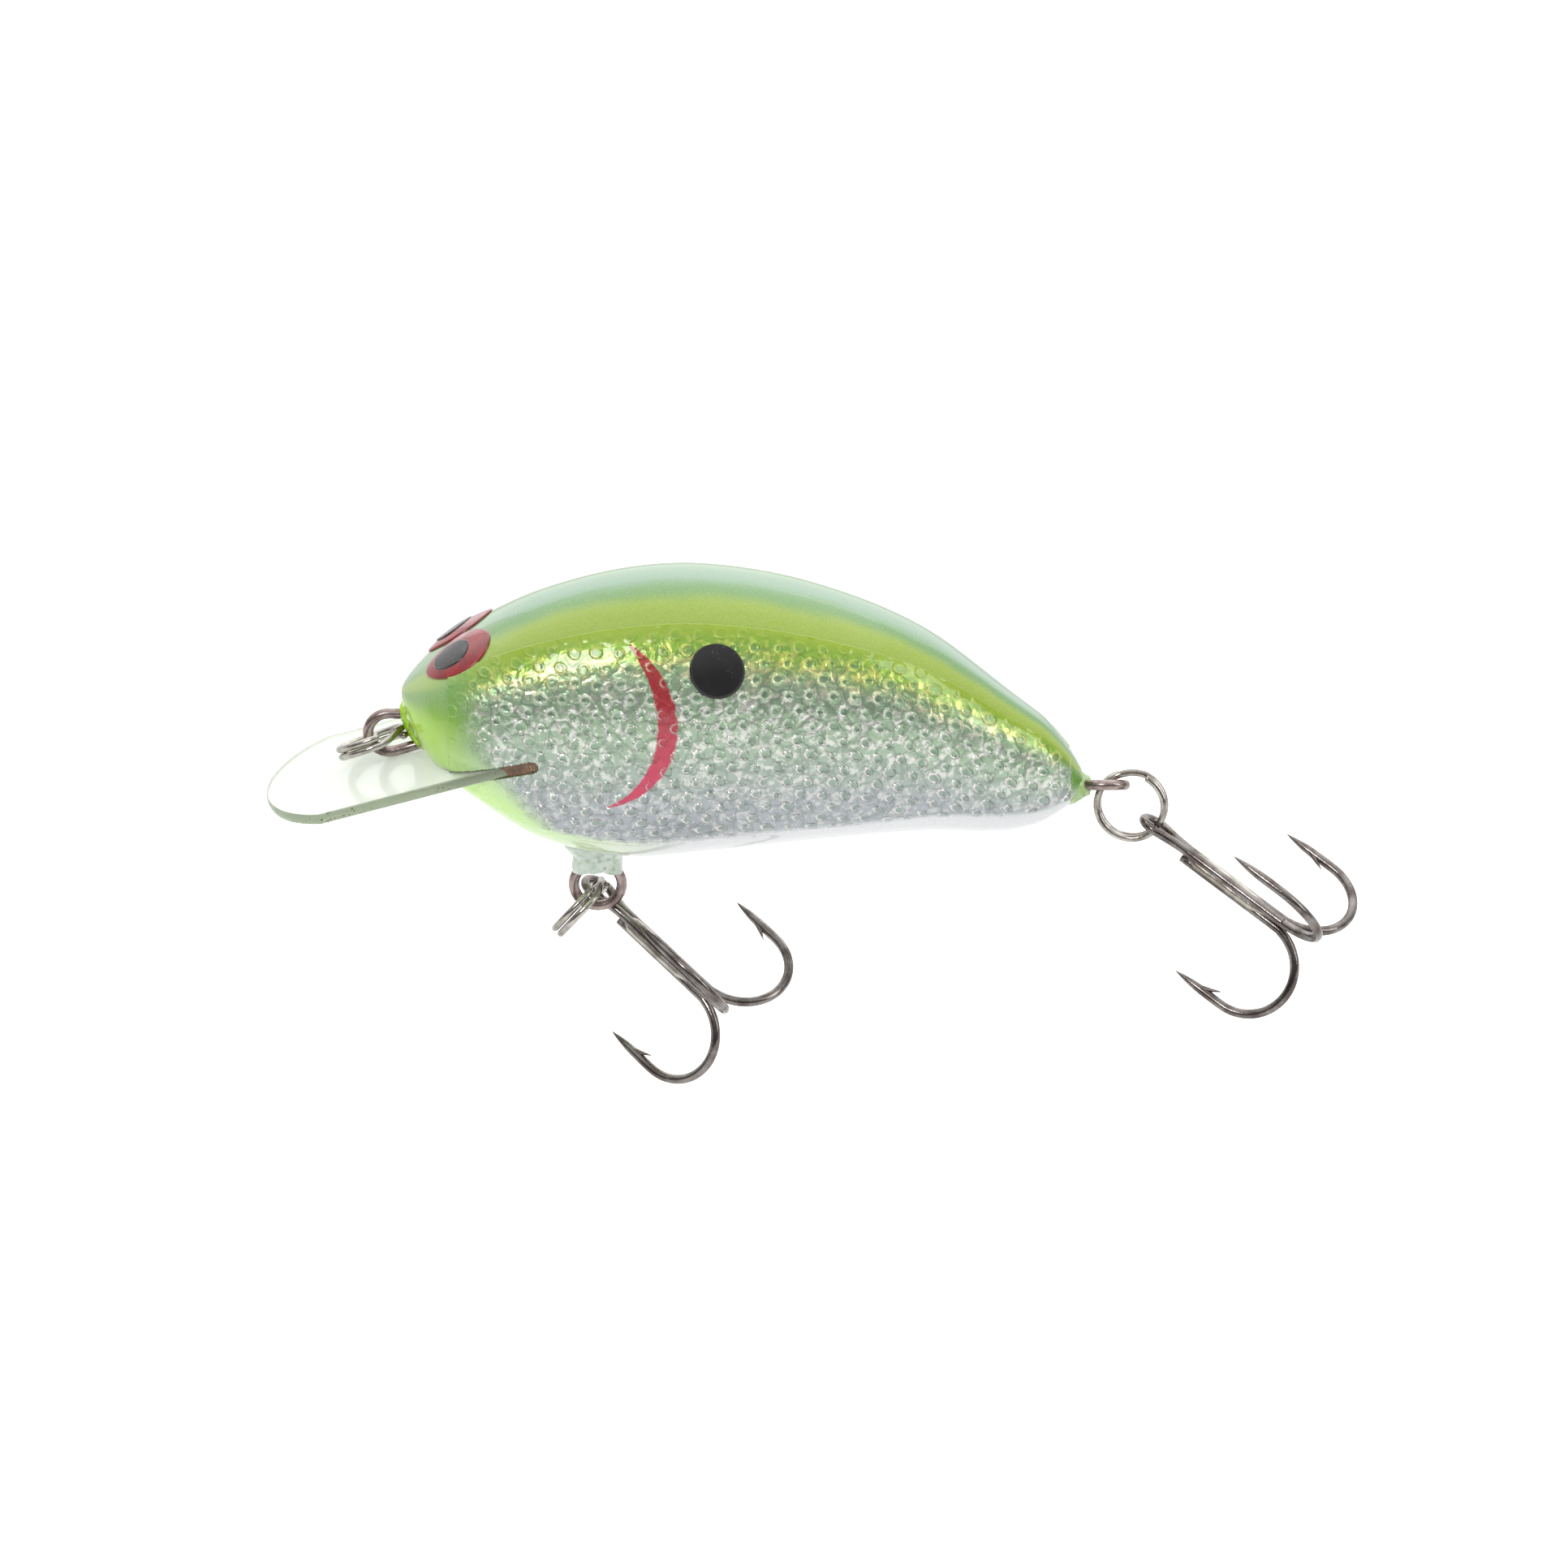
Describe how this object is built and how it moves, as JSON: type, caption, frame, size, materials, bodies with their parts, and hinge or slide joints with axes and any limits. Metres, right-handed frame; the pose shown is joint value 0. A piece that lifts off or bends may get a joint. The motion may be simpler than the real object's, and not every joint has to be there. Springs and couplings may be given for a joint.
{
  "type": "crankbait fishing lure",
  "caption": "Short-bodied diving fishing lure with a clear lip, wire eyes, split rings and barbed treble hooks that swing from belly and tail.",
  "frame": {"origin": "middle of the line-tie eye at the nose", "axes": "+X from the nose towards the tail, +Y towards the lure's own right, +Z from the belly towards the back"},
  "size_m": [0.1016, 0.0265, 0.0496],
  "materials": {
    "painted_wood": "balsa under pale green and chartreuse paint with a thick gloss clear coat",
    "scale_foil": "thin embossed foil with scale dimples, under the clear coat",
    "eye_red": "glossy domed enamel",
    "pupil_black": "glossy black enamel",
    "spot_black": "glossy black enamel under the clear coat",
    "clear_lip": "clear polycarbonate sheet with polished faces and sawn edge",
    "brown_glue": "brown epoxy with specks",
    "green_epoxy": "painted epoxy, chipped at its edges",
    "eye_wire": "drawn stainless wire, slightly tarnished",
    "ring_nickel": "black nickel plate",
    "hook_bronze": "black nickel over bronzed steel",
    "braze_silver": "smooth silver braze",
    "lead": "dull lead",
    "filler": "wood filler, painted over"
  },
  "bodies": {
    "lure": {"body_core": "painted_wood", "foil_left": "scale_foil", "foil_right": "scale_foil", "eye_left": "eye_red", "eye_right": "eye_red", "pupil_left": "pupil_black", "pupil_right": "pupil_black", "spot_left": "spot_black", "spot_right": "spot_black", "diving_lip": "clear_lip", "lip_bond": "brown_glue", "line_tie_eye": "eye_wire", "line_tie_bond": "green_epoxy", "belly_hanger": "eye_wire", "belly_collar": "green_epoxy", "tail_eye": "eye_wire", "tail_collar": "green_epoxy", "ballast_weight": "lead", "ballast_plug": "filler"},
    "nose_ring": {"nose_split_ring": "ring_nickel"},
    "belly_ring": {"belly_split_ring": "ring_nickel"},
    "belly_treble": {"belly_double_hook": "hook_bronze", "belly_single_hook": "hook_bronze", "belly_braze": "braze_silver"},
    "tail_ring": {"tail_split_ring": "ring_nickel"},
    "tail_treble": {"tail_double_hook": "hook_bronze", "tail_single_hook": "hook_bronze", "tail_braze": "braze_silver"}
  },
  "joints": [
    {"name": "nose_ring_swing", "type": "hinge", "parent": "lure", "child": "nose_ring", "pos_m": [-0.00195, 0, 0], "axis": [0, 0, 1], "range_deg": [-12, 90]},
    {"name": "belly_ring_swing", "type": "hinge", "parent": "lure", "child": "belly_ring", "pos_m": [0.01914, 0, -0.0157], "axis": [0, 1, 0], "range_deg": [-10, 90]},
    {"name": "belly_treble_swing", "type": "hinge", "parent": "belly_ring", "child": "belly_treble", "pos_m": [0.01911, 0.00289, -0.01768], "axis": [-0.4812, 0.4271, -0.7655], "range_deg": [-75, 5]},
    {"name": "tail_ring_swing", "type": "hinge", "parent": "lure", "child": "tail_ring", "pos_m": [0.06766, 0, -0.00541], "axis": [0, -0.8988, 0.4384], "range_deg": [-6, 110]},
    {"name": "tail_treble_swing", "type": "hinge", "parent": "tail_ring", "child": "tail_treble", "pos_m": [0.07122, -0.00162, -0.00896], "axis": [0.6179, 0.0023, 0.7863], "range_deg": [-90, 90]}
  ]
}
